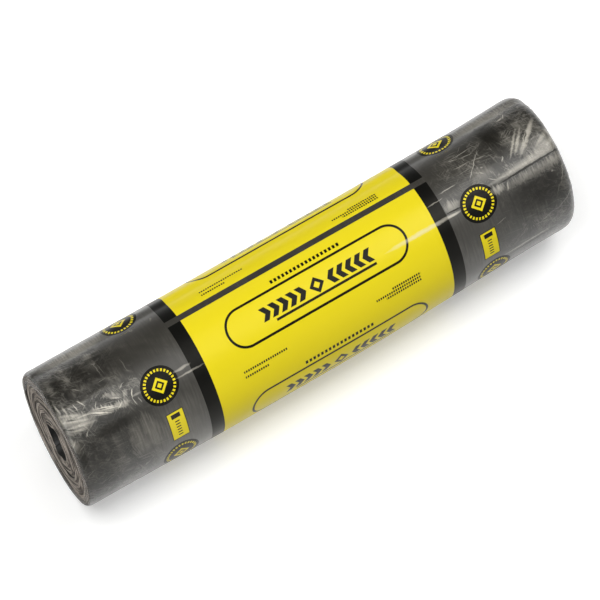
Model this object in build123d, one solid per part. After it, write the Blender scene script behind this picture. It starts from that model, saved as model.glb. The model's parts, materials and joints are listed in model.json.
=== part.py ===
"""A roll of bitumen roofing felt in its shrunk film sleeve, lying on its side.

The roll's axis runs along X and the sleeve touches the ground at Z = 0, halfway along.
All sizes are in millimetres.
"""

import math
import os

from build123d import *

# The felt sheet, as it is sold
SHEET_LENGTH = 10000.0
SHEET_WIDTH = 1000.0
FELT_THICKNESS = 3.8

# The winding. The lap angle of the sheet's outer end, from +Y, leaves the heavier side of the roll down.
BORE_DIAMETER = 76.0
TURN_GAP = 0.8
TURN_GAP_DEPTH = 3.0
TIGHT_TURNS = 1
RIM_BEVEL = 7.0
LAP_ANGLE = 37.5

# The film sleeve, shrunk on around the roll and over the rims of both ends
FILM_THICKNESS = 0.15
FILM_CLEARANCE = 0.3
FILM_LIP_WIDTH = 24.0

# How far every cutting shape stands past what it cuts
OVERRUN = 2.0

# Sizes that follow from those above
TURN_PITCH = FELT_THICKNESS + TURN_GAP
BORE_RADIUS = BORE_DIAMETER / 2
ROLL_RADIUS = math.sqrt(BORE_RADIUS**2 + SHEET_LENGTH * TURN_PITCH / math.pi)
FILM_STANDOFF = FILM_CLEARANCE + FILM_THICKNESS
AXIS_HEIGHT = ROLL_RADIUS + FILM_STANDOFF
HALF_WIDTH = SHEET_WIDTH / 2

# How much wider a 45 degree bevel gets with each millimetre that its outline stands off
BEVEL_GROWTH_SHARE = 2 - math.sqrt(2)


def end_to_end(standoff, lip_end):
    """Points of an outline along the roll, from lip_end on one end over both rims to the other end,
    standing off from the felt by standoff. Each point is a place along the axis and a radius."""
    face = HALF_WIDTH + standoff
    radius = ROLL_RADIUS + standoff
    bevel = RIM_BEVEL + standoff * BEVEL_GROWTH_SHARE
    half = [(face, lip_end), (face, radius - bevel), (face - bevel, radius)]
    return half + [(-place, size) for place, size in reversed(half)]


def turned(points):
    """Solid turned about the roll's axis from the closed outline through the points."""
    axial_plane = Plane(origin=(0, 0, AXIS_HEIGHT), x_dir=(1, 0, 0), z_dir=(0, -1, 0))
    axis = Axis((0, 0, AXIS_HEIGHT), (1, 0, 0))
    return revolve(axial_plane * make_face(Polyline(*points, close=True)), axis)


def end_plane(side):
    """Drawing plane of the winding on one end, with its normal along -X and its first axis at the lap."""
    lap = math.radians(LAP_ANGLE)
    across = (0, math.cos(lap), math.sin(lap))
    return Plane(origin=(side * HALF_WIDTH, 0, AXIS_HEIGHT), x_dir=across, z_dir=(-1, 0, 0))


def winding_radius(half_turn):
    """Outer radius of the sheet on one half turn, counted from the outside in."""
    return ROLL_RADIUS - half_turn * TURN_PITCH / 2


def half_turn_arc(half_turn, outset):
    """One half turn of the sheet's outer face, moved outwards by outset. Even half turns are about the
    roll's axis and odd ones about half a pitch aside, so that each runs smoothly on into the next."""
    centre = (0, 0) if half_turn % 2 == 0 else (-TURN_PITCH / 2, 0)
    start = 0 if half_turn % 2 == 0 else 180
    return CenterArc(centre, winding_radius(half_turn) + outset, start, 180)


def lap_cut():
    """Crescent outside the last half turn: it leaves the sheet's outer end as a step along the roll."""
    reach = ROLL_RADIUS + OVERRUN
    outside = CenterArc((0, 0), reach, 180, 180)
    inside = half_turn_arc(1, 0)
    step = Line((winding_radius(2), 0), (reach, 0))
    far_side = Line((-ROLL_RADIUS, 0), (-reach, 0))
    crescent = make_face([outside, inside, step, far_side])
    return extrude(end_plane(1) * Pos(0, 0, -OVERRUN) * crescent, SHEET_WIDTH + 2 * OVERRUN)


def turn_gap(side):
    """Gap between the turns on one end: a V swept along the winding, from the outer turns that the rim's
    bevel takes up inwards to the tight turns that form the bore."""
    first = 2 * math.ceil(RIM_BEVEL / TURN_PITCH)
    last = math.floor(2 * ((ROLL_RADIUS - BORE_RADIUS) / TURN_PITCH - TIGHT_TURNS))
    path = Wire([half_turn_arc(k, TURN_GAP / 2) for k in range(first, last + 1)])
    mouth = TURN_GAP / 2 * (TURN_GAP_DEPTH + OVERRUN) / TURN_GAP_DEPTH
    corners = [(-mouth, side * OVERRUN), (mouth, side * OVERRUN), (0, -side * TURN_GAP_DEPTH)]
    section = Plane(origin=path @ 0, x_dir=(1, 0, 0), z_dir=path % 0)
    return end_plane(side) * sweep(section * make_face(Polyline(*corners, close=True)), path=path)


def felt_roll():
    """The wound sheet: turned with its bore, with its lap along the side and its turns on both ends."""
    blank = turned(end_to_end(0, BORE_RADIUS))
    return blank - lap_cut() - turn_gap(-1) - turn_gap(1)


def film_sleeve():
    """Thin sleeve shrunk round the roll, turned in over both rims and open in the middle of each end."""
    lip_end = ROLL_RADIUS - FILM_LIP_WIDTH
    outside = end_to_end(FILM_STANDOFF, lip_end)
    inside = end_to_end(FILM_CLEARANCE, lip_end)
    return turned(outside + inside[::-1])


os.makedirs("parts", exist_ok=True)
for name, solid in (("felt_roll", felt_roll()), ("film_sleeve", film_sleeve())):
    export_step(solid, f"parts/{name}.step")
    print(name, "volume", round(solid.volume), "size", solid.bounding_box().size)
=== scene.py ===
"""A lying roll of bitumen roofing felt in its printed film sleeve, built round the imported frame.

Laid out as a Blender add-on and run as a script. Sizes are in metres and the roll's axis runs along X.
Places round the roll are angles from +Y towards +Z, or lengths from the middle line of the print.
"""

import json
import math

import bpy
import numpy as np
from bpy.props import FloatProperty, FloatVectorProperty, IntProperty, PointerProperty
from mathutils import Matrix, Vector, noise


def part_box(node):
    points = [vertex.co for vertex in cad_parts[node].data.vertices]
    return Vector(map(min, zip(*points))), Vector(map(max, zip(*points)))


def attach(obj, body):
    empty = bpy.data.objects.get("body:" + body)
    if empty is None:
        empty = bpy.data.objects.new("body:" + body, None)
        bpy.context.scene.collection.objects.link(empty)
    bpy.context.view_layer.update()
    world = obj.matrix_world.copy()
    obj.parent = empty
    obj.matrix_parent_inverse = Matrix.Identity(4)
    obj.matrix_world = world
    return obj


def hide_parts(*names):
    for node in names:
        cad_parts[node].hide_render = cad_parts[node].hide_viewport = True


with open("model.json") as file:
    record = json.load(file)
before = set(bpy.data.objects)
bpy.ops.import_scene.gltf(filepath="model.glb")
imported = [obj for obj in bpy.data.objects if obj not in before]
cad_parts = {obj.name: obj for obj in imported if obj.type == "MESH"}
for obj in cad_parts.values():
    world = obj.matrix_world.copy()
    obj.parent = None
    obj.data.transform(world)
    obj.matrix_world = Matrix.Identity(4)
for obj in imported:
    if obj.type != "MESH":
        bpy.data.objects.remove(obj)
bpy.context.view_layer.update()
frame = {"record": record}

bl_info = {
    "name": "Roofing felt roll",
    "version": (1, 0, 0),
    "blender": (4, 5, 0),
    "location": "View3D > Sidebar > Felt roll",
    "description": "Builds a lying roll of bitumen roofing felt in its printed film sleeve",
    "category": "Object",
}

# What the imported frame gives
BORE = next(mount for mount in frame["record"]["mounts"] if mount["name"] == "bore")
BORE_RADIUS = BORE["dims"]["r_mm"] / 1000
SHEET_WIDTH = BORE["dims"]["length_mm"] / 1000
AXIS_HEIGHT = BORE["pos_m"][2]
END_FACE = float(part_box("film_sleeve")[1][0])

# How the ends are drawn in across the roll: end, from and to along it, share, how far back, and how far
# round the film slides over the felt
DRAWN_ENDS = ((1, 0.0, 0.5, 0.04, 0.007, 0.0095), (-1, 0.2, 0.5, 0.012, 0.0025, 0.0035))


# Properties that a user would change


class FeltSizes(bpy.types.PropertyGroup):
    """Sizes and colours of the wound felt."""

    thickness: FloatProperty(
        name="Thickness", description="Thickness of the felt sheet", default=0.0038, unit="LENGTH"
    )
    turn_gap: FloatProperty(
        name="Turn gap", description="Air between two turns of the winding", default=0.0008, unit="LENGTH"
    )
    lap_angle: FloatProperty(
        name="Lap angle", description="Place of the sheet's outer end",
        default=math.radians(37.5), subtype="ANGLE",
    )
    stagger: FloatProperty(
        name="Stagger", description="How far turns stand back on the ends", default=0.0034, unit="LENGTH"
    )
    slack: FloatProperty(
        name="Slack", description="How far the inner turns leave their circle", default=0.015, unit="LENGTH"
    )
    lean: FloatProperty(name="Lean", description="How far the ends lean out of square", default=0.06)
    lean_angle: FloatProperty(
        name="Lean angle", description="Side that the left end leans out on",
        default=math.radians(202.0), subtype="ANGLE",
    )
    left_rim: FloatProperty(
        name="Left rim", description="Rounding of the turns at the left end", default=0.0075, unit="LENGTH"
    )
    right_rim: FloatProperty(
        name="Right rim", description="Rounding of the turns at the right end", default=0.022, unit="LENGTH"
    )
    turn_points: IntProperty(name="Points", description="Points on each turn of the winding", default=112)
    face_colour: FloatVectorProperty(
        name="Face", description="Colour of the bitumen face",
        default=(0.022, 0.0215, 0.0205), subtype="COLOR",
    )
    edge_colour: FloatVectorProperty(
        name="Edge", description="Colour of the cut edge", default=(0.6, 0.53, 0.455), subtype="COLOR"
    )


class FilmSizes(bpy.types.PropertyGroup):
    """Sizes and colours of the film sleeve."""

    thickness: FloatProperty(
        name="Thickness", description="Thickness of the film", default=0.00015, unit="LENGTH"
    )
    clearance: FloatProperty(
        name="Clearance", description="Air between the felt and the film", default=0.0003, unit="LENGTH"
    )
    lip_width: FloatProperty(
        name="Lip width", description="How far the film is turned in over each end",
        default=0.024, unit="LENGTH",
    )
    print_angle: FloatProperty(
        name="Print angle", description="Place of the print's middle line",
        default=math.radians(112.1), subtype="ANGLE",
    )
    columns: IntProperty(name="Columns", description="Mesh columns round the roll", default=256)
    haze_colour: FloatVectorProperty(
        name="Haze", description="Colour of film that stands off the felt",
        default=(0.8, 0.75, 0.63), subtype="COLOR",
    )


class PrintSizes(bpy.types.PropertyGroup):
    """Sizes and colours of the print on the film."""

    middle: FloatProperty(
        name="Middle", description="Place of the print's middle along the roll", default=0.0015, unit="LENGTH"
    )
    band_half: FloatProperty(
        name="Band", description="Half the length of the coloured band", default=0.2352, unit="LENGTH"
    )
    stripe_width: FloatProperty(
        name="Stripe", description="Width of the stripe at each end of the band", default=0.025, unit="LENGTH"
    )
    repeats: IntProperty(name="Repeats", description="Times that the print repeats round the roll", default=5)
    frame_half: FloatProperty(
        name="Frame length", description="Half the length of the line frame", default=0.178, unit="LENGTH"
    )
    frame_radius: FloatProperty(
        name="Frame radius", description="Radius of the line frame's ends", default=0.0335, unit="LENGTH"
    )
    disc_place: FloatProperty(
        name="Disc place", description="Place of the discs along the roll", default=0.3215, unit="LENGTH"
    )
    disc_radius: FloatProperty(
        name="Disc radius", description="Radius of the printed discs", default=0.0345, unit="LENGTH"
    )
    band_colour: FloatVectorProperty(
        name="Band colour", description="Ink of the band", default=(0.78, 0.64, 0.012), subtype="COLOR"
    )
    line_colour: FloatVectorProperty(
        name="Line colour", description="Ink of stripes and lines",
        default=(0.0042, 0.0042, 0.0036), subtype="COLOR",
    )


class StageSizes(bpy.types.PropertyGroup):
    """Where the camera stands."""

    azimuth: FloatProperty(
        name="Azimuth", description="Turn of the camera round the roll",
        default=math.radians(-32.38), subtype="ANGLE",
    )
    elevation: FloatProperty(
        name="Elevation", description="Height of the camera as an angle",
        default=math.radians(64.32), subtype="ANGLE",
    )
    distance: FloatProperty(
        name="Distance", description="From the camera to the roll's middle", default=7.0, unit="LENGTH"
    )
    lens: FloatProperty(name="Lens", description="Focal length in millimetres", default=243.1)


class RollSettings(bpy.types.PropertyGroup):
    """All settings of the roll."""

    felt: PointerProperty(type=FeltSizes)
    film: PointerProperty(type=FilmSizes)
    ink: PointerProperty(type=PrintSizes)
    stage: PointerProperty(type=StageSizes)


# Node trees as formulas


def join(tree, value, socket):
    """Link a field or a socket to a socket, or set the socket to a plain value."""
    if isinstance(value, Field):
        value = value.socket
    if isinstance(value, bpy.types.NodeSocket):
        tree.links.new(value, socket)
    else:
        socket.default_value = value


def feed(tree, node, values):
    """Link or set a node's inputs by name."""
    for name, value in values.items():
        join(tree, value, node.inputs[name])


def add(tree, kind, values=None, **settings):
    """New node with its settings, and with its inputs linked or set by name."""
    node = tree.nodes.new(kind)
    for name, value in settings.items():
        setattr(node, name, value)
    feed(tree, node, values or {})
    return node


def offer(tree, way, kind, *names):
    """New sockets on a group's interface."""
    for name in names:
        tree.interface.new_socket(name=name, in_out=way, socket_type="NodeSocket" + kind)


class Field:
    """A value that changes over a surface. Sums on it add Math nodes, so a pattern reads as a formula."""

    def __init__(self, tree, socket):
        self.tree = tree
        self.socket = socket

    def math(self, operation, *others):
        node = add(self.tree, "ShaderNodeMath", operation=operation)
        for socket, value in zip(node.inputs, (self, *others)):
            join(self.tree, value, socket)
        return Field(self.tree, node.outputs[0])

    def __add__(self, other):
        return self.math("ADD", other)

    def __sub__(self, other):
        return self.math("SUBTRACT", other)

    def __mul__(self, other):
        return self.math("MULTIPLY", other)

    def __truediv__(self, other):
        return self.math("DIVIDE", other)

    def __neg__(self):
        return self * -1.0

    def __rsub__(self, other):
        return -self + other

    __radd__ = __add__
    __rmul__ = __mul__

    def size(self):
        return self.math("ABSOLUTE")

    def part(self):
        return self.math("FRACT")

    def low(self, other):
        return self.math("MINIMUM", other)

    def high(self, other):
        return self.math("MAXIMUM", other)

    def rise(self, start, end):
        """0 before start, 1 after end and smooth between."""
        values = {"Value": self, "From Min": start, "From Max": end}
        node = add(self.tree, "ShaderNodeMapRange", values, interpolation_type="SMOOTHSTEP")
        return Field(self.tree, node.outputs[0])

    def dashes(self, period, share, soft):
        """1 on the middle of each period, over share to both sides, and 0 between."""
        return ((self / period).part() - 0.5).size().under(share, soft)

    def under(self, limit, soft=0.00025):
        """1 below the limit and 0 above it, with a soft edge."""
        return 1.0 - self.rise(limit - soft, limit + soft)


def weighed(tree, vector, weights):
    """The sum of a vector's parts, each times its weight."""
    node = add(tree, "ShaderNodeVectorMath", operation="DOT_PRODUCT")
    join(tree, vector, node.inputs[0])
    node.inputs[1].default_value = weights
    return Field(tree, node.outputs["Value"])


def grain(tree, vector, scale, detail=2.0, roughness=0.5, distortion=0.0):
    """Noise over a surface, about 0 to 1."""
    values = {"Scale": scale, "Detail": detail, "Roughness": roughness, "Distortion": distortion}
    return Field(tree, add(tree, "ShaderNodeTexNoise", {"Vector": vector, **values}).outputs[0])


def layers(tree, place, detail):
    """Noise along one line, about 0 to 1."""
    values = {"W": place, "Scale": 1.0, "Detail": detail}
    return Field(tree, add(tree, "ShaderNodeTexNoise", values, noise_dimensions="1D").outputs[0])


def blend(tree, share, first, second):
    """Colour that goes from first to second with share."""
    node = add(tree, "ShaderNodeMix", data_type="RGBA")
    join(tree, share, node.inputs[0])
    for value, socket in ((first, node.inputs[6]), (second, node.inputs[7])):
        join(tree, value if isinstance(value, bpy.types.NodeSocket) else (*value, 1.0), socket)
    return node.outputs[2]


def new_material(name):
    """Material with its tree and its Principled shader."""
    material = bpy.data.materials.new(name)
    material.use_nodes = True
    tree = material.node_tree
    return material, tree, tree.nodes["Principled BSDF"]


def object_place(tree):
    """Object coordinates."""
    return add(tree, "ShaderNodeTexCoord").outputs["Object"]


def parts_of(tree, vector):
    """The three parts of a vector as fields."""
    node = add(tree, "ShaderNodeSeparateXYZ", {"Vector": vector})
    return [Field(tree, socket) for socket in node.outputs]


def attribute(tree, name):
    """A value stored on the mesh."""
    return Field(tree, add(tree, "ShaderNodeAttribute", attribute_name=name).outputs["Fac"])


def put(name, data):
    """New object in the scene."""
    item = bpy.data.objects.new(name, data)
    bpy.context.scene.collection.objects.link(item)
    return item


# The felt


# Cuts along each long side of the sheet's section, and the bend in radians past which an edge is sharp
LONG_SIDE_CUTS = 13.0
SHARP_BEND = 0.6


def winding_pitch(felt):
    """From one turn to the next."""
    return felt.thickness + felt.turn_gap


def winding_tree():
    """Geometry nodes that wind a flat sheet from its lap inwards to the bore."""
    tree = bpy.data.node_groups.new("wound_sheet", "GeometryNodeTree")
    floats = ("Outer Radius", "Pitch", "Turns", "Thickness", "Width", "Lap Angle", "Axis Height", "Stagger",
              "Slack", "Slack Radius", "Edge Rounding", "Lean", "Lean Angle", "Left Rim", "Right Rim")
    offer(tree, "OUTPUT", "Geometry", "Sheet")
    offer(tree, "INPUT", "Float", *floats)
    offer(tree, "INPUT", "Int", "Points")
    offer(tree, "INPUT", "Material", "Felt")
    given = add(tree, "NodeGroupInput").outputs
    size = {name: Field(tree, given[name]) for name in floats}

    def shaped(before, kind, values=None, **settings):
        """Geometry node that goes on from another one's shape."""
        node = add(tree, "GeometryNode" + kind, values, **settings)
        join(tree, before.outputs[0], node.inputs[0])
        return node

    # The line of the winding: half turns about the axis, then half turns about half a pitch aside
    line = add(tree, "GeometryNodeCurvePrimitiveLine", {"End": (1.0, 0.0, 0.0)})
    line = shaped(line, "ResampleCurve", {"Count": given["Points"]})
    turn = Field(tree, add(tree, "GeometryNodeSplineParameter").outputs["Factor"]) * size["Turns"]
    angle = turn * math.tau
    sinking = (angle.math("COSINE") + 1.0) * 0.5 * turn.part().math("GREATER_THAN", 0.5)
    radius = size["Outer Radius"] - size["Thickness"] * 0.5 - size["Pitch"] * (turn.math("FLOOR") + sinking)
    place = size["Lap Angle"] - angle
    across = radius * place.math("COSINE")
    up = radius * place.math("SINE") + size["Axis Height"]
    spot = add(tree, "ShaderNodeCombineXYZ", {"Y": across, "Z": up})
    kept = shaped(line, "CaptureAttribute")
    for name, value in (("turn", turn), ("radius", radius)):
        kept.capture_items.new("FLOAT", name)
        join(tree, value, kept.inputs[name])
    line = shaped(kept, "SetPosition", {"Position": spot.outputs[0]})
    line = shaped(line, "SetCurveNormal", {"Normal": (1.0, 0.0, 0.0)}, mode="FREE")

    # The section of the sheet, with its cut edges a little rounded and its long sides in pieces
    section = add(tree, "GeometryNodeCurvePrimitiveQuadrilateral",
                  {"Width": size["Width"], "Height": size["Thickness"]})
    section = shaped(section, "FilletCurve", {"Radius": size["Edge Rounding"], "Count": 2}, mode="POLY")
    wide, depth, _ = parts_of(tree, add(tree, "GeometryNodeInputPosition").outputs[0])
    depth = depth / size["Thickness"] * 2.0
    long = depth.size().math("GREATER_THAN", 0.99) * (wide * depth).math("GREATER_THAN", 0.0)
    section = shaped(section, "SubdivideCurve", {"Cuts": long * LONG_SIDE_CUTS})
    marked = shaped(section, "CaptureAttribute")
    marked.capture_items.new("FLOAT", "across")
    join(tree, depth, marked.inputs["across"])
    sheet = shaped(line, "CurveToMesh", {"Profile Curve": marked.outputs[0], "Fill Caps": True})

    # Turns stand back unevenly on the ends and most at the rims, the ends lean, and the inner turns lie slack
    here = add(tree, "GeometryNodeInputPosition").outputs[0]
    along, side, height = parts_of(tree, here)
    end = along.math("SIGN")
    wound = Field(tree, kept.outputs["turn"])
    uneven = layers(tree, wound * 1.7 + end * 40.0, 3.0)
    back = uneven.rise(0.25, 0.8) * size["Stagger"] * wound.rise(0.0, 3.0)
    rise = height - size["Axis Height"]
    reach = (side * side + rise * rise).math("SQRT")
    line_radius = Field(tree, kept.outputs["radius"])
    sunk = size["Pitch"] * wound.math("FLOOR") + size["Thickness"] * 0.5 - reach + line_radius
    rim = (size["Left Rim"] + size["Right Rim"] + end * (size["Right Rim"] - size["Left Rim"])) * 0.5
    short = (rim - sunk).high(0.0).low(rim)
    back = back + rim - (rim * rim - short * short).math("SQRT")
    lean = size["Lean Angle"]
    leaning = (side * lean.math("COSINE") + rise * lean.math("SINE")) * size["Lean"]
    loose = 1.0 - reach.rise(size["Slack Radius"] * 0.55, size["Slack Radius"])
    ripple = add(tree, "ShaderNodeTexNoise", {"Vector": here, "Scale": 22.0})
    ripple = parts_of(tree, ripple.outputs["Color"])
    aside = (ripple[1] - 0.5) * 2.0 * size["Slack"] * loose - side * loose * rise.rise(0.0, 0.03) * 0.35
    for which, start, stop, share, behind, _ in DRAWN_ENDS:
        aside = aside + (along * which).rise(start, stop) * (behind - side * share)
    shift = add(tree, "ShaderNodeCombineXYZ", {
        "X": -end * back - leaning, "Y": aside, "Z": (ripple[2] - 0.5) * 2.0 * size["Slack"] * loose})
    sheet = shaped(sheet, "SetPosition", {"Offset": shift.outputs[0]})

    for name, node in (("turn", kept), ("across", marked)):
        sheet = shaped(sheet, "StoreNamedAttribute", {"Name": name, "Value": node.outputs[name]})
    bend = Field(tree, add(tree, "GeometryNodeInputMeshEdgeAngle").outputs[0])
    sharp = bend.math("GREATER_THAN", SHARP_BEND)
    sheet = shaped(sheet, "SetShadeSmooth", {"Shade Smooth": True}, domain="FACE")
    sheet = shaped(sheet, "SetShadeSmooth", {"Selection": sharp, "Shade Smooth": False}, domain="EDGE")
    sheet = shaped(sheet, "RealizeInstances")
    sheet = shaped(sheet, "SetMaterial", {"Material": given["Felt"]})
    add(tree, "NodeGroupOutput", {"Sheet": sheet.outputs[0]})
    return tree


# Colour of the bitumen inside the sheet, where its cut edge shows no fibre
CORE_COLOUR = (0.045, 0.038, 0.033)


def felt_material(felt):
    """Bitumen felt: dark smooth faces, and paler fibrous edges where the sheet was cut."""
    material, tree, shader = new_material("bitumen_felt")
    here = object_place(tree)
    turn = attribute(tree, "turn")
    depth = attribute(tree, "across").size()
    normal = parts_of(tree, add(tree, "ShaderNodeNewGeometry").outputs["True Normal"])
    cut = normal[0].size().rise(0.2, 0.45)

    fibre = grain(tree, here, 900.0, 3.0, 0.6)
    patch = grain(tree, here, 40.0, 3.0, 0.6)
    skins = depth.rise(0.5, 0.95)
    uneven = layers(tree, turn * 6.0, 4.0).rise(0.3, 0.7) * 1.25 + 0.2
    pale = (skins * 0.5 + fibre * 0.8) * uneven * (patch * 1.1 + 0.4)
    edge = blend(tree, pale.low(1.0), CORE_COLOUR, felt.edge_colour)
    mottle = grain(tree, here, 30.0, 5.0, 0.65)
    light = tuple(2.2 * part for part in felt.face_colour)
    face = blend(tree, mottle.rise(0.45, 0.75), felt.face_colour, light)
    bump = add(tree, "ShaderNodeBump",
               {"Strength": 0.5, "Distance": 0.0006, "Height": fibre * cut + mottle * 0.4})
    feed(tree, shader, {
        "Base Color": blend(tree, cut, face, edge),
        "Roughness": cut * 0.4 + mottle * 0.15 + 0.38,
        "Specular IOR Level": 0.15,
        "Normal": bump.outputs[0],
    })
    return material


def plain_mesh(name, tree, values):
    """Object whose mesh is what a geometry nodes tree makes, with no modifier left on it."""
    seed = put(name + "_seed", bpy.data.meshes.new(name + "_seed"))
    modifier = seed.modifiers.new("Nodes", "NODES")
    modifier.node_group = tree
    for socket in tree.interface.items_tree:
        if socket.in_out == "INPUT":
            modifier[socket.identifier] = values[socket.name]
    made = seed.evaluated_get(bpy.context.evaluated_depsgraph_get())
    mesh = bpy.data.meshes.new_from_object(made)
    bpy.data.objects.remove(seed)
    if not mesh.polygons:
        raise RuntimeError(name + " came out empty")
    mesh.name = name
    return put(name, mesh)


class ROLL_OT_wind_felt(bpy.types.Operator):
    """Wind the felt sheet into its roll"""

    bl_idname = "felt_roll.wind_felt"
    bl_label = "Wind the felt"

    def execute(self, context):
        felt, film = context.scene.felt_roll.felt, context.scene.felt_roll.film
        outer = AXIS_HEIGHT - film.clearance - film.thickness
        turns = (outer - BORE_RADIUS) / winding_pitch(felt)
        piece = plain_mesh("felt_wound_sheet", winding_tree(), {
            "Outer Radius": outer,
            "Pitch": winding_pitch(felt),
            "Turns": turns,
            "Thickness": felt.thickness,
            "Width": SHEET_WIDTH,
            "Lap Angle": felt.lap_angle,
            "Axis Height": AXIS_HEIGHT,
            "Stagger": felt.stagger,
            "Slack": felt.slack,
            "Slack Radius": 1.9 * BORE_RADIUS,
            "Edge Rounding": 0.15 * felt.thickness,
            "Lean": felt.lean,
            "Lean Angle": felt.lean_angle,
            "Left Rim": felt.left_rim,
            "Right Rim": felt.right_rim,
            "Points": int(turns * felt.turn_points),
            "Felt": felt_material(felt),
        })
        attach(piece, "root")
        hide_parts("felt_roll")
        return {"FINISHED"}


# The film


def eased(start, end, value):
    """0 before start, 1 after end and smooth between."""
    share = np.clip((value - start) / (end - start), 0.0, 1.0)
    return share * share * (3.0 - 2.0 * share)


def noise_over(points, scale, seed, octaves=1):
    """Smooth noise from about -1 to 1 at each point."""
    flat = points.reshape(-1, 3) * scale + seed
    values = [noise.fractal(Vector(spot), 0.9, 2.0, octaves) for spot in flat]
    return np.array(values).reshape(points.shape[:-1])


# Rows of the sleeve's mesh on each half: few to where the creases begin, then more, and some on rim and lip
CREASED_FROM = 0.29
PLAIN_ROWS, CREASED_ROWS, RIM_ROWS = 15, 58, 9
LEAST_LIP = 0.01


def half_rows(rim, lip_width):
    """The sleeve's outline from mid-length to one lip: place along the axis, depth below the side,
    outward direction, length along the film from mid-length, and the rim's radius."""
    start = END_FACE - rim
    plain = np.linspace(0.0, CREASED_FROM, PLAIN_ROWS, endpoint=False)
    side = np.concatenate([plain, np.linspace(CREASED_FROM, start, CREASED_ROWS, endpoint=False)])
    bend = np.linspace(0.0, math.pi / 2, RIM_ROWS)
    lip = np.linspace(rim, max(lip_width, rim + LEAST_LIP), RIM_ROWS)[1:]
    flat = np.zeros_like(side)
    along = np.concatenate([side, start + rim * np.sin(bend), np.full_like(lip, END_FACE)])
    depth = np.concatenate([flat, rim * (1 - np.cos(bend)), lip])
    outwards = np.concatenate([flat, np.sin(bend), np.ones_like(lip)])
    length = np.concatenate([side, start + rim * bend, start + rim * math.pi / 2 + lip - rim])
    return np.stack([along, depth, outwards, length, np.full_like(along, rim)], axis=1)


def sleeve_rows(felt, film):
    """The sleeve's outline from its left lip to its right lip."""
    standoff = film.clearance + film.thickness
    left = half_rows(felt.left_rim + standoff, film.lip_width)
    right = half_rows(felt.right_rim + standoff, film.lip_width)
    return np.concatenate([left[:0:-1] * np.array([-1.0, 1.0, -1.0, -1.0, 1.0]), right])


def shrunk_radius(felt, film, angle):
    """Radius of the film round the felt: it follows the winding and spans the step at the lap."""
    past = (angle - felt.lap_angle) % math.tau
    fall = winding_pitch(felt) * (1 + np.cos(past)) / 2 * (past < math.pi)
    return AXIS_HEIGHT - fall * eased(0.0, 0.22, past)


# Groups of creases: place along and its spread, angle from the print's line and its spread, count,
# direction and its spread, length, width, lift, and paleness
CREASES = (
    (-0.43, 0.05, -16, 2.5, 7, 0, 6, 0.07, 0.0024, 0.001, 0.15),
    (-0.375, 0.02, -15, 7, 16, 90, 75, 0.034, 0.0016, 0.0007, 0.15),
    (-0.475, 0.022, -6, 9, 14, 60, 40, 0.04, 0.0045, 0.0006, 0.1),
    (-0.44, 0.045, 40, 35, 22, 70, 60, 0.04, 0.0022, 0.0004, 0.06),
    (-0.43, 0.05, -45, 20, 16, 20, 50, 0.05, 0.0022, 0.0004, 0.06),
    (0.38, 0.11, -4, 0.8, 6, 0, 1.5, 0.12, 0.0022, 0.001, 0.15),
    (0.445, 0.035, -24, 11, 16, 65, 18, 0.065, 0.004, 0.0007, 0.15),
    (0.345, 0.045, -25, 11, 26, 20, 70, 0.06, 0.0012, 0.0004, 0.1),
    (0.43, 0.05, 30, 30, 22, 40, 60, 0.05, 0.002, 0.0003, 0.04),
    (-0.43, 0.05, 180, 90, 40, 70, 60, 0.05, 0.0022, 0.0006, 0.4),
    (0.43, 0.05, 180, 90, 40, 70, 60, 0.05, 0.0022, 0.0006, 0.4),
)


def crease_field(length, around, circle):
    """Lift of the film, and how pale it is, along straight creases strewn over its ends."""
    draw = np.random.default_rng(11)
    lift = np.zeros(np.broadcast_shapes(length.shape, around.shape))
    pale = np.zeros_like(lift)
    for place, spread, turn, turn_spread, count, way, way_spread, reach, width, height, paleness in CREASES:
        for _ in range(count):
            at = place + spread * draw.uniform(-1, 1)
            line = math.radians(turn + turn_spread * draw.uniform(-1, 1)) * circle / math.tau
            slope = math.radians(way + way_spread * draw.uniform(-1, 1))
            half = reach * draw.uniform(0.4, 1.0) / 2
            thick = width * draw.uniform(0.6, 1.4)
            across = (around - line + circle / 2) % circle - circle / 2
            on = (length - at) * math.cos(slope) + across * math.sin(slope)
            off = across * math.cos(slope) - (length - at) * math.sin(slope)
            stroke = np.exp(-((off / thick) ** 2)) * eased(1.0, 0.35, np.abs(on) / half)
            strength = draw.uniform(0.5, 1.0)
            lift = np.maximum(lift, height * strength * stroke)
            pale = np.maximum(pale, paleness * strength * stroke)
    return lift, pale


# Worn patches: place along, angle from the print's line, half length, half width, and amount
WORN = (
    (-0.42, -7, 0.07, 0.016, 0.6),
    (-0.37, -7, 0.035, 0.026, 0.5),
    (-0.48, -4, 0.03, 0.03, 0.6),
    (-0.4, 60, 0.06, 0.045, 0.25),
    (-0.44, -50, 0.06, 0.03, 0.25),
    (0.34, -30, 0.06, 0.045, 0.6),
    (0.45, -28, 0.045, 0.045, 0.5),
    (0.42, -8, 0.11, 0.014, 0.6),
    (0.44, -64, 0.03, 0.03, 0.5),
    (0.4, 55, 0.07, 0.03, 0.2),
    (-0.42, 120, 0.06, 0.07, 0.7),
    (-0.44, 200, 0.05, 0.08, 0.7),
    (-0.4, 260, 0.06, 0.05, 0.7),
    (0.42, 120, 0.06, 0.07, 0.7),
    (0.44, 190, 0.05, 0.08, 0.7),
    (0.4, 255, 0.06, 0.05, 0.7),
)


def worn_field(length, around, circle):
    """How much the film is scratched and crinkled, in soft patches near its ends."""
    worn = np.zeros(np.broadcast_shapes(length.shape, around.shape))
    for place, turn, half, wide, amount in WORN:
        across = (around - circle * turn / 360 + circle / 2) % circle - circle / 2
        worn = np.maximum(worn, amount * np.exp(-(((length - place) / half) ** 2) - (across / wide) ** 2))
    return worn


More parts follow.
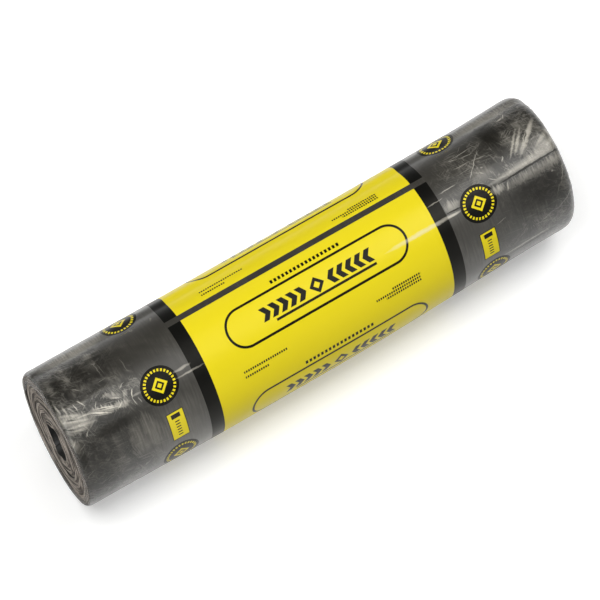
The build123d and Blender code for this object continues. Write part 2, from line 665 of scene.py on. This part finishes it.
def sleeve_mesh(felt, film):
    """Film shrunk round the felt, with creased ends and gathered lips, as one wall."""
    rows = sleeve_rows(felt, film)
    angle = (-math.pi / 2 + math.tau * np.arange(film.columns) / film.columns)[None, :]
    along, depth, outwards, length, rim = (rows[:, k, None] for k in range(5))
    upright = np.sqrt(1.0 - outwards**2)
    circle = math.tau * AXIS_HEIGHT
    around = AXIS_HEIGHT * (angle - film.print_angle)
    ring = AXIS_HEIGHT * np.cos(angle), AXIS_HEIGHT * np.sin(angle)
    spots = np.stack(np.broadcast_arrays(length, *ring), axis=-1)

    # How much the film is drawn together: not at all in the middle, most at the lips
    ends = eased(0.30, 0.48, np.abs(length))
    rims = eased(END_FACE - 0.05, END_FACE + 0.03, np.abs(length))
    lips = eased(END_FACE - 0.004, END_FACE + 0.012, np.abs(length))
    ripple = noise_over(spots, 34.0, 3.0, 2)
    crest = 1.0 - np.abs(noise_over(spots * np.array([0.8, 1.0, 1.0]), 26.0, 17.0, 2))
    lift, pale = crease_field(length, around, circle)
    sway = noise_over(spots, 9.0, 29.0)
    fold = 1.0 - np.abs(np.sin(31.0 * angle + 5.0 * sway + 2.0 * ripple))
    wobble = 0.00012 * ripple * (0.25 + ends)
    shape = lift + wobble + ends * 0.0002 * np.clip(crest, 0, 1) ** 5
    shape = shape + rims * 0.0011 * fold**2 * (0.4 + np.clip(ripple, -0.4, 1.0))
    from_flare = np.abs(angle - math.radians(30))
    flare = 0.0035 * eased(0.36, 0.5, length) * eased(math.radians(75), 0.0, from_flare)
    from_ground = np.abs((angle + math.pi / 2 + math.pi) % math.tau - math.pi)
    held = eased(math.radians(8), math.radians(25), from_ground)
    shape = np.maximum((shape + flare) * held, -0.0001)
    pale = np.maximum(pale, 0.45 * lips * fold**4)

    torn = 0.75 + 0.45 * noise_over(spots[len(rows) // 2][None], 22.0, 5.0)
    inside = np.where(depth > rim, rim + (depth - rim) * torn, depth)
    radius = shrunk_radius(felt, film, angle) - inside + shape * upright
    x = along + shape * outwards - felt.lean * radius * np.cos(angle - felt.lean_angle)
    y = radius * np.cos(angle)
    y = y + sum(eased(start, stop, which * along) * (behind - share * y)
                for which, start, stop, share, behind, _ in DRAWN_ENDS)
    corners = np.stack(np.broadcast_arrays(x, y, AXIS_HEIGHT + radius * np.sin(angle)), axis=-1)

    count, columns = corners.shape[:2]
    row, column = np.meshgrid(np.arange(count - 1), np.arange(columns), indexing="ij")
    beside = (column + 1) % columns
    down = np.stack([row, row, row + 1, row + 1], axis=-1)
    faces = down * columns + np.stack([column, beside, beside, column], axis=-1)
    mesh = bpy.data.meshes.new("film_printed_sleeve")
    mesh.from_pydata(corners.reshape(-1, 3).tolist(), [], faces.reshape(-1, 4).tolist())
    layer = mesh.uv_layers.new(name="film_lay")
    slide = sum(far * eased(start, stop, which * along) for which, start, stop, _, _, far in DRAWN_ENDS)
    step = circle / columns * np.array([0, 1, 1, 0])
    flat_v = around[0][column][..., None] + step - slide[down, 0]
    layer.uv.foreach_set("vector", np.stack([length[down, 0], flat_v], axis=-1).ravel().astype(np.float32))
    for name, values in (("pale", pale), ("worn", worn_field(length, around, circle))):
        stored = mesh.attributes.new(name, "FLOAT", "POINT")
        full = np.ascontiguousarray(np.broadcast_to(values, corners.shape[:2]))
        stored.data.foreach_set("value", full.ravel())
    mesh.polygons.foreach_set("use_smooth", [True] * len(mesh.polygons))
    mesh.update()
    return mesh, (circle, float(length[-1, 0] - length[0, 0]))


# The bare seam, how far the film has given on the front, and the angles that the print's parts lie at
SEAM_ANGLE, SEAM_WIDTH = -40.0, 0.0136
FRONT_GIVE = 0.007
FRAME_ANGLE, RULE_ANGLE, DISC_ANGLE, PLATE_ANGLE = -4.8, 28.0, 1.7, 38.2
# A stretch round the roll that has no plates
NO_PLATE_ANGLE, NO_PLATE_HALF = -34.0, 0.05
PLATE_PLACE = 0.317
LINE_HALF, RULE_HALF = 0.0022, 0.0019
CHEVRON_PITCH, CHEVRON_LAST = 0.0178, 6.0
DISC_TICKS = 28.0
# Rules beside the frames, in millimetres: middle along, half length, and place round
RULES = ((-136, 43, -5.9), (-156, 23, 3.6), (148, 29, -4.0), (130, 45, 1.7), (140, 36, 7.4))


def print_group(ink):
    """Shader group of the print: how far ink covers the film, and the ink's colour."""
    tree = bpy.data.node_groups.new("film_print", "ShaderNodeTree")
    offer(tree, "INPUT", "Float", "Along", "Around")
    offer(tree, "OUTPUT", "Float", "Cover")
    offer(tree, "OUTPUT", "Color", "Colour")
    given = add(tree, "NodeGroupInput").outputs
    along, around = Field(tree, given["Along"]) - ink.middle, Field(tree, given["Around"])
    away = along.size()
    circle = math.tau * AXIS_HEIGHT
    seam = circle * SEAM_ANGLE / 360
    period = (circle - SEAM_WIDTH) / ink.repeats
    laid = around + around.math("LESS_THAN", seam) * SEAM_WIDTH
    # The film has given on the front, so the frames stand farther apart there than on the back
    spread = laid - (around * (math.tau / circle)).math("SINE") * FRONT_GIVE

    def repeated(place, degrees):
        """Place round the roll from the nearest copy of what is printed at an angle."""
        return ((place - circle * degrees / 360) / period + 0.5).part() * period - period / 2

    # The band, its stripes, and the bare seam that runs across them
    bare = (around - seam).size().under(SEAM_WIDTH / 2)
    band = away.under(ink.band_half)
    stripes = away.under(ink.band_half + ink.stripe_width) - band

    # Line frames round the band, each with chevrons that run in to a diamond over a bar
    row = repeated(spread, FRAME_ANGLE)
    beyond = (away - (ink.frame_half - ink.frame_radius)).high(0.0)
    outline = ((beyond * beyond + row * row).math("SQRT") - ink.frame_radius).size().under(LINE_HALF)
    tall = (row + 0.0014).size()
    slant = (away - tall * 0.7) / CHEVRON_PITCH
    chevrons = (slant.part() - 0.5).size().under(0.31, 0.01) * tall.under(0.0118)
    chevrons = chevrons * (1.0 - slant.under(1.0, 0.01)) * slant.under(CHEVRON_LAST, 0.01)
    diamond = (away + tall).under(0.0145) - (away + tall).under(0.0066)
    bar = (row - 0.0165).size().under(LINE_HALF) * (along - 0.011).size().under(0.1005)
    # Blocks and ticked rules beside the frames
    blocks = along.dashes(0.0078, 0.3, 0.03)
    blocks = blocks * (row + 0.045).size().under(0.0033) * away.under(0.0702)
    rule_row = repeated(spread, RULE_ANGLE)
    rule_ticks = along.dashes(0.0044, 0.34, 0.05)
    marks = outline.high(chevrons).high(diamond).high(bar).high(blocks)
    for place, half, aside in RULES:
        rule = (rule_row - aside / 1000).size().under(RULE_HALF)
        marks = marks.high(rule * (along - place / 1000).size().under(half / 1000) * rule_ticks)
    marks = marks * band

    # Discs and small plates on the clear film
    disc_row = repeated(laid, DISC_ANGLE)
    from_disc = away - ink.disc_place
    off_disc = (from_disc * from_disc + disc_row * disc_row).math("SQRT")
    disc = off_disc.under(ink.disc_radius)
    ticks = from_disc.math("ARCTAN2", disc_row).dashes(math.tau / DISC_TICKS, 0.28, 0.03)
    ring = (off_disc - 0.78 * ink.disc_radius).size().under(0.0024) * ticks
    lozenge = from_disc.size() + disc_row.size()
    emblem = lozenge.under(0.0155) - lozenge.under(0.0095) + lozenge.under(0.005)
    from_plate = (away - PLATE_PLACE).size()
    none = (around - circle * NO_PLATE_ANGLE / 360).size().under(NO_PLATE_HALF)
    plate_row = repeated(laid, PLATE_ANGLE) + none * period
    plate = from_plate.under(0.0162) * plate_row.size().under(0.0287)
    inner = from_plate.under(0.0149) * plate_row.size().under(0.0274)
    ladder = plate_row.dashes(0.0058, 0.2, 0.03)
    ladder = ladder * from_plate.under(0.0042) * (plate_row - 0.007).size().under(0.0175)
    heading = (plate_row + 0.0195).size().under(0.0042) * from_plate.under(0.0085)

    golden = band.high(ring + emblem).high(inner - ladder.high(heading) * inner) * (1.0 - marks)
    cover = (band.high(stripes) * (1.0 - bare)).high(disc).high(plate)
    inks = blend(tree, golden, ink.line_colour, ink.band_colour)
    add(tree, "NodeGroupOutput", {"Cover": cover, "Colour": inks})
    return tree


# Painted highlights and painted reflections: strokes of pale colour on the film where light catches its
# creases, in millimetres: from and to, each as a place along and a place round from the print's line, then
# half the width, and the strength
THIN_PAINTED_GLINTS = (
    (-467, -46, -463, -26, 1.2, 0.7), (-458, -47, -448, -29, 1.4, 0.7), (-450, -16, -413, 3, 1.7, 1),
    (-440, -17, -398, -3, 1.3, 0.8), (-428, -29, -437, -15, 0.9, 0.7), (-385, -26, -371, -34, 0.9, 0.5),
    (-372, 1, -364, -18, 1.4, 1), (-372, -4, -368, 15, 1.1, 0.6), (-362, 1, -359, 15, 1.1, 0.5),
    (-356, -32, -346, -25, 0.8, 0.35), (-471, 19, -461, 8, 1.4, 0.6), (-495, -63, -492, -35, 2, 0.5),
    (-485, -51, -481, -32, 2.2, 0.45), (-477, -43, -468, -27, 2, 0.35), (-454, -71, -443, -58, 1, 0.3),
    (-401, -101, -398, -60, 0.8, 0.2), (-395, -95, -393, -62, 0.8, 0.15), (-358, -78, -356, -44, 0.8, 0.2),
    (-412, -55, -393, -56, 1, 0.2), (-404, -97, -396, -93, 1.5, 0.25), (-374, -3, -350, -3, 2, 0.3),
    (-292, -3, -254, -4, 3, 0.5), (-294, 8, -230, 9, 2.2, 0.55), (-505, -40, -456, -17, 2.6, 0.3),
    (-502, -24, -448, -5, 3, 0.3), (-497, -10, -440, 2, 3, 0.28), (-475, -20, -436, -12, 2, 0.35),
    (-492, -2, -462, 5, 2, 0.3), (-445, -9, -418, 3, 1.4, 0.5), (-425, -9, -394, 1, 1.4, 0.6),
    (-408, -22, -386, -10, 1.4, 0.5), (-402, 4, -388, -6, 1.2, 0.6), (408, -35, 450, -90, 3, 0.5),
    (419, -38, 458, -86, 3.6, 0.5), (426, -31, 488, -92, 6.5, 0.68), (352, -15, 522, -20, 8, 0.34),
    (395, -18, 526, -26, 9, 0.29), (435, -22, 526, -34, 12, 0.22), (455, -30, 505, -62, 5, 0.35),
    (470, -22, 512, -44, 7, 0.4), (488, -60, 514, -30, 6, 0.35), (128, -1, 292, -1, 4.8, 1),
    (394, -40, 402, -51, 1.4, 0.6), (313, -98, 371, -102, 1, 0.5), (313, -98, 331, -92, 1.2, 0.5),
    (331, -91, 362, -87, 1, 0.45), (311, -75, 349, -74, 1.1, 0.45), (346, -74, 379, -68, 1, 0.4),
    (325, -37, 372, -91, 0.9, 0.6), (338, -105, 351, -119, 0.8, 0.3), (313, -112, 343, -111, 1, 0.2),
    (311, -60, 346, -62, 1, 0.2), (266, -46, 304, -48, 1.4, 0.6), (234, -35, 272, -37, 1.2, 0.6),
    (250, -1, 291, 0, 3, 0.9), (381, 12, 387, -6, 1.8, 0.5), (357, -28, 372, -16, 0.9, 0.5),
    (349, -46, 357, -38, 1.2, 0.45), (341, -50, 349, -44, 1, 0.35), (355, -52, 362, -50, 1.5, 0.4),
    (338, 56, 362, 51, 0.9, 0.3), (338, 133, 448, 130, 3, 0.4), (431, -127, 446, -130, 2.2, 0.6),
    (443, -122, 451, -141, 1.1, 0.6), (466, 19, 470, 17, 2, 0.45), (484, 34, 500, 4, 1.3, 0.4),
    (474, 50, 492, 22, 1.2, 0.35), (462, 66, 474, 46, 1.2, 0.25), (494, 52, 506, 26, 1.4, 0.35),
    (455, 96, 505, 62, 1, 0.25), (410, 104, 462, 88, 1, 0.2), (-498, 50, -480, 34, 1.2, 0.3),
    (-496, 72, -482, 58, 1.2, 0.25), (-500, 92, -476, 76, 1.2, 0.25), (-478, 118, -440, 108, 1.2, 0.2),
    (-500, 26, -488, 12, 1.4, 0.4), (-494, 38, -476, 26, 1.2, 0.3),
)
# Wide painted highlights and painted reflections, in the same columns
WIDE_PAINTED_SHEENS = (
    (-515, -34, -436, 0, 14, 0.42), (-505, -5, -445, -2, 13, 0.3), (-450, -18, -390, 4, 7, 0.5),
    (-416, -30, -382, -14, 6, 0.4), (-410, -6, -376, 2, 9, 0.6), (-385, -4, -373, -24, 4, 0.4),
    (-390, 34, -380, 110, 20, 0.17), (-368, 28, -356, 110, 18, 0.2), (-502, 4, -486, 44, 8, 0.32),
    (-413, -121, -391, -119, 10, 0.22), (-452, -130, -452, -114, 8, 0.15), (-316, -123, -308, -122, 4, 0.25),
    (-276, -124, -270, -122, 5, 0.25), (-490, -154, -335, -152, 17, 0.4), (358, -18, 518, -24, 11, 0.15),
    (452, -42, 516, -34, 28, 0.18), (365, 3, 510, 3, 11, 0.24), (440, 2, 524, -1, 10, 0.35),
    (-318, 20, -316, 180, 62, 0.09), (330, -156, 490, -154, 17, 0.35), (-455, -118, -453, -70, 6, 0.1),
    (-488, -125, -486, -70, 6, 0.1), (-470, -62, -390, -58, 8, 0.07), (-405, -112, -400, -70, 9, 0.07),
    (348, -2, 381, 0, 10, 0.5), (260, -16, 294, -15, 12, 0.38), (330, -43, 377, -40, 18, 0.15),
)
# Painted shade: dark lines along creases and near the bottom edge, in the same columns as the strokes above
PAINTED_SHADE_LINES = (
    (362, -8, 506, -13, 2.1, 2.2), (258, -8, 300, -6, 1.8, 1.8), (338, 142, 456, 137, 2.5, 0.7),
    (447, -52, 462, -73, 2, 0.8), (-492, -25, -470, -14, 1.5, 0.9), (-498, -9, -480, -2, 1.5, 0.9),
    (-436, -15, -412, -6, 1.2, 0.8), (-410, -12, -398, -8, 1.2, 0.7),
)
DARK_PATCHES = (
    (-472, -120, -472, -70, 10, 0.75), (-431, -124, -428, -68, 17, 0.8), (-490, 18, -488, 87, 13, 0.9),
    (-465, 26, -467, 68, 8, 0.7), (-475, 28, -367, 26, 14, 0.7), (400, -148, 402, -68, 24, 0.9),
    (468, -72, 494, -43, 6, 0.5), (380, 40, 497, 48, 26, 0.8), (-472, 0, -470, 190, 52, 0.6),
    (436, 2, 438, 92, 64, 0.75),
)


def strokes(tree, spot, table):
    """How strongly tapering strokes cover a place on the film. The place's third part is 1."""
    most = None
    for *ends, width, strength in table:
        first, last = Vector(ends[:2]) / 1000, Vector(ends[2:]) / 1000
        middle, way = (first + last) / 2, (last - first) / 2
        over = way.orthogonal().normalized() * width / 1000
        on = weighed(tree, spot, (*(way / way.length_squared), -way.dot(middle) / way.length_squared))
        off = weighed(tree, spot, (*(over / over.length_squared), -over.dot(middle) / over.length_squared))
        cover = off.math("MULTIPLY_ADD", off, on * on).math("MULTIPLY_ADD", -strength, strength)
        most = cover.high(0.0) if most is None else most.high(cover)
    return most.low(1.0)


# Colour of the clear film where it clings to the felt
CLINGING_COLOUR = (0.008, 0.007, 0.0045)


def film_material(film, ink):
    """Glossy film with opaque ink: dark where it clings to the felt, hazy or pale where it stands off, with
    painted highlights and painted shade along its creases.
    """
    material, tree, shader = new_material("printed_film")
    flat = add(tree, "ShaderNodeUVMap", uv_map="film_lay").outputs[0]
    along, around, _ = parts_of(tree, flat)
    here = object_place(tree)
    printed = add(tree, "ShaderNodeGroup", {"Along": along, "Around": around}, node_tree=print_group(ink))
    cover = Field(tree, printed.outputs["Cover"])
    ends = along.size().rise(0.31, 0.42)
    lips = (-along).rise(END_FACE - 0.004, END_FACE + 0.002) + along.rise(END_FACE + 0.012, END_FACE + 0.02)
    pale, worn = attribute(tree, "pale"), attribute(tree, "worn") + ends * 0.17

    def drawn(degrees, length, width, seed, *kind):
        """Noise over the film that is drawn out in one direction."""
        values = {"Vector": flat, "Location": (seed, seed, 0.0), "Scale": (length, width, 1.0),
                  "Rotation": (0.0, 0.0, math.radians(degrees))}
        place = add(tree, "ShaderNodeMapping", values, vector_type="TEXTURE").outputs[0]
        return grain(tree, place, 1.0, *kind)

    def moved(ahead, aside):
        """Place on the film, moved, with 1 for its third part."""
        values = {"X": along + ahead, "Y": around + aside, "Z": 1.0}
        return add(tree, "ShaderNodeCombineXYZ", values).outputs[0]

    def scratches(degrees, length, width, seed, thin):
        """Thin broken lines that run about one way."""
        wave = drawn(degrees, length, width, seed, 2.0, 0.5, 0.3)
        gate = drawn(degrees, 0.035, 0.022, seed + 5.0, 2.0).rise(0.48, 0.58)
        return (1.0 - (wave - 0.5).size().rise(0.0, thin)) * gate

    lines = scratches(72.0, 0.045, 0.0055, 1.0, 0.04).high(scratches(-38.0, 0.05, 0.006, 2.0, 0.035))
    lines = lines.high(scratches(12.0, 0.08, 0.006, 3.0, 0.035)) * worn

    # Painted highlights where the creases would catch the light, with hairs that run round the roll at the
    # edges of the wide ones, and painted shade along crease lines
    hair = drawn(90.0, 0.04, 0.0034, 4.0, 1.0, 0.5, 0.3)
    bend = drawn(20.0, 0.012, 0.008, 6.0, 2.0) - 0.5
    wavy = moved(bend * 0.004, bend * 0.004)
    ragged = moved(bend * 0.004, (hair - 0.5) * 0.018 + bend * 0.008)
    thin = strokes(tree, wavy, THIN_PAINTED_GLINTS)
    wide = strokes(tree, ragged, WIDE_PAINTED_SHEENS) * (hair * 1.4 + 0.2)
    # Dark: painted shade along crease lines and near the bottom edge, together with dark patches of the film
    dark = strokes(tree, wavy, PAINTED_SHADE_LINES).high(strokes(tree, ragged, DARK_PATCHES))
    painted_glint = thin * 0.62 + wide * 0.58

    # Haze: clouds where the film stands off, streaks that run round, and crumples at the rims
    fold = drawn(30.0, 0.024, 0.011, 12.0, 2.0, 0.5, 0.8)
    crumple = (1.0 - (fold - 0.5).size().rise(0.0, 0.05)) * along.size().rise(0.37, 0.5)
    cloud = drawn(35.0, 0.07, 0.04, 9.0, 5.0, 0.6, 0.5)
    streak = drawn(90.0, 0.12, 0.012, 7.0, 2.0, 0.6, 0.3)
    haze = 0.036 - ends * 0.024 + (hair - 0.5) * (cloud.rise(0.4, 0.65) * 0.06 + 0.012)
    haze = haze + (cloud.rise(0.5, 0.75) * 0.045 + (streak - 0.5) * 0.05) * ends + (cloud - 0.5) * 0.06
    # The last term adds the painted highlights to the haze
    haze = haze + crumple * 0.07 + lines * 0.25 + pale * (hair + 0.2) * 0.6 + painted_glint
    haze = (haze * (1.0 - dark)).high(0.0).low(1.0)
    clear = blend(tree, haze, CLINGING_COLOUR, film.haze_colour)
    # The painted highlights also lie over the ink
    inked = blend(tree, painted_glint * 0.75, printed.outputs["Colour"], film.haze_colour)
    alpha = (haze + 0.9).low(0.99) * (1.0 - lips * 0.86)

    smudge = grain(tree, here, 120.0, 1.0, 0.5)
    crinkle = crumple * 0.3 + hair * (ends * 0.1 + 0.03) + streak * (ends * 0.5 + 0.06) + lines * 0.3
    bump = add(tree, "ShaderNodeBump",
               {"Strength": 0.6, "Distance": 0.001, "Height": crinkle + smudge * 0.04})
    feed(tree, shader, {
        "Base Color": blend(tree, cover, clear, inked),
        "Alpha": alpha.high(cover),
        "Coat Weight": (1.0 - cover) * (1.0 - dark * 0.6),
        "Coat Roughness": 0.38,
        "Coat IOR": 1.58,
        "Coat Normal": bump.outputs[0],
        "Roughness": smudge * 0.1 + 0.33 - cover * 0.06,
        "Specular IOR Level": 0.17,
        "Specular Tint": (1.0, 0.96, 0.87, 1.0),
        "Normal": bump.outputs[0],
    })
    return material


class ROLL_OT_shrink_film(bpy.types.Operator):
    """Shrink the printed film round the felt"""

    bl_idname = "felt_roll.shrink_film"
    bl_label = "Shrink the film"

    def execute(self, context):
        settings = context.scene.felt_roll
        mesh, flat = sleeve_mesh(settings.felt, settings.film)
        mesh.materials.append(film_material(settings.film, settings.ink))
        piece = put("film_printed_sleeve", mesh)
        wall = piece.modifiers.new("Wall", "SOLIDIFY")
        wall.thickness = settings.film.thickness
        wall.offset = -1.0
        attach(piece, "root")
        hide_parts("film_sleeve")
        return {"FINISHED"}


# The stage


# The floor: half its width, its colour for bounced light and as it is seen, and its glow
FLOOR_HALF = 9.0
FLOOR_BOUNCE = (0.36, 0.36, 0.355)
FLOOR_SEEN = (0.98, 0.98, 0.97)
FLOOR_GLOW = 0.25
# Lamps: name, place, size, power, and the kind of ray that it leaves unlit. The sheens are apart, because the
# film shines farther down the front than the light from above falls
LAMPS = (
    ("left_lamp", (-1.4, 0.0, 3.4), (2.2, 2.2), 62.0, "visible_glossy"),
    ("left_sheen", (-1.4, -0.55, 3.4), (2.2, 2.2), 62.0, "visible_diffuse"),
    ("right_lamp", (2.2, 0.0, 3.4), (2.2, 2.2), 62.0, "visible_glossy"),
    ("right_sheen", (2.2, -0.55, 3.4), (2.2, 2.2), 62.0, "visible_diffuse"),
    ("back_lamp", (0.3, 2.6, 2.0), (2.0, 1.2), 17.0, "visible_glossy"),
    ("top_lamp", (0.9, -0.35, 3.5), (3.0, 1.9), 14.0, None),
    ("end_lamp", (-3.2, -1.0, 1.2), (1.6, 1.6), 22.0, None),
)


def floor_material():
    """Pale floor that keeps shadows and shows white to the camera."""
    material, tree, _ = new_material("pale_floor")
    tree.nodes.clear()
    rays = add(tree, "ShaderNodeLightPath").outputs
    seen = Field(tree, rays["Is Camera Ray"])
    for name in ("Is Glossy Ray", "Is Transmission Ray"):
        seen = seen.high(Field(tree, rays[name]))
    matt = add(tree, "ShaderNodeBsdfDiffuse", {"Color": blend(tree, seen, FLOOR_BOUNCE, FLOOR_SEEN)})
    glow = add(tree, "ShaderNodeEmission", {"Strength": seen * FLOOR_GLOW})
    both = add(tree, "ShaderNodeAddShader")
    join(tree, matt.outputs[0], both.inputs[0])
    join(tree, glow.outputs[0], both.inputs[1])
    add(tree, "ShaderNodeOutputMaterial", {"Surface": both.outputs[0]})
    return material


def put_aimed(name, data, place, aim):
    """New lamp or camera that looks at its aim."""
    item = put(name, data)
    item.location = place
    item.rotation_euler = (aim - Vector(place)).to_track_quat("-Z", "Y").to_euler()
    return item


def add_lamp(aim, name, place, size, power, unlit):
    """Area lamp with its first side along X."""
    data = bpy.data.lights.new(name, "AREA")
    data.shape = "RECTANGLE"
    data.size, data.size_y = size
    data.energy = power
    item = put_aimed(name, data, place, aim)
    if unlit:
        setattr(item, unlit, False)


class ROLL_OT_set_stage(bpy.types.Operator):
    """Set the floor, the lamps, the world and the camera"""

    bl_idname = "felt_roll.set_stage"
    bl_label = "Set the stage"

    def execute(self, context):
        scene = context.scene
        stage = scene.felt_roll.stage
        middle = Vector((0.0, 0.0, AXIS_HEIGHT))
        mesh = bpy.data.meshes.new("floor")
        corners = [(FLOOR_HALF * x, FLOOR_HALF * y, 0) for x, y in ((-1, -1), (1, -1), (1, 1), (-1, 1))]
        mesh.from_pydata(corners, [], [(0, 1, 2, 3)])
        mesh.materials.append(floor_material())
        floor = put("floor", mesh)

        for row in LAMPS:
            add_lamp(middle, *row)

        world = bpy.data.worlds.new("studio")
        world.use_nodes = True
        scene.world = world
        tree = world.node_tree
        rays = add(tree, "ShaderNodeLightPath").outputs
        seen = Field(tree, rays["Is Camera Ray"])
        _, behind, height = parts_of(tree, add(tree, "ShaderNodeTexCoord").outputs["Generated"])
        around = 0.1 + 0.64 * (1.0 - height.rise(0.35, 0.7)) * (1.0 - behind.rise(-0.5, 0.4))
        strength = around + seen * (1.0 - around)
        feed(tree, tree.nodes["Background"], {"Color": (1.0, 1.0, 1.0, 1.0), "Strength": strength})

        data = bpy.data.cameras.new("camera")
        data.lens = stage.lens
        data.shift_x = -0.0077
        level = stage.distance * math.cos(stage.elevation)
        off = Vector((level * math.sin(stage.azimuth), -level * math.cos(stage.azimuth),
                      stage.distance * math.sin(stage.elevation)))
        scene.camera = put_aimed("camera", data, middle + off, middle)
        scene.view_settings.view_transform = "Standard"
        return {"FINISHED"}


class ROLL_PT_panel(bpy.types.Panel):
    """Settings and steps of the felt roll"""

    bl_idname = "ROLL_PT_panel"
    bl_label = "Felt roll"
    bl_space_type = "VIEW_3D"
    bl_region_type = "UI"
    bl_category = "Felt roll"

    def draw(self, context):
        settings = context.scene.felt_roll
        for group in (settings.felt, settings.film, settings.ink, settings.stage):
            box = self.layout.box()
            for name in group.bl_rna.properties.keys():
                if name not in ("rna_type", "name"):
                    box.prop(group, name)
        for step in STEPS:
            self.layout.operator(step.bl_idname)


STEPS = (ROLL_OT_wind_felt, ROLL_OT_shrink_film, ROLL_OT_set_stage)
CLASSES = (FeltSizes, FilmSizes, PrintSizes, StageSizes, RollSettings, *STEPS, ROLL_PT_panel)


def register():
    for item in CLASSES:
        bpy.utils.register_class(item)
    bpy.types.Scene.felt_roll = PointerProperty(type=RollSettings)


def unregister():
    del bpy.types.Scene.felt_roll
    for item in reversed(CLASSES):
        bpy.utils.unregister_class(item)


def main():
    register()
    bpy.ops.felt_roll.wind_felt()
    bpy.ops.felt_roll.shrink_film()
    bpy.ops.felt_roll.set_stage()


if __name__ == "__main__":
    main()
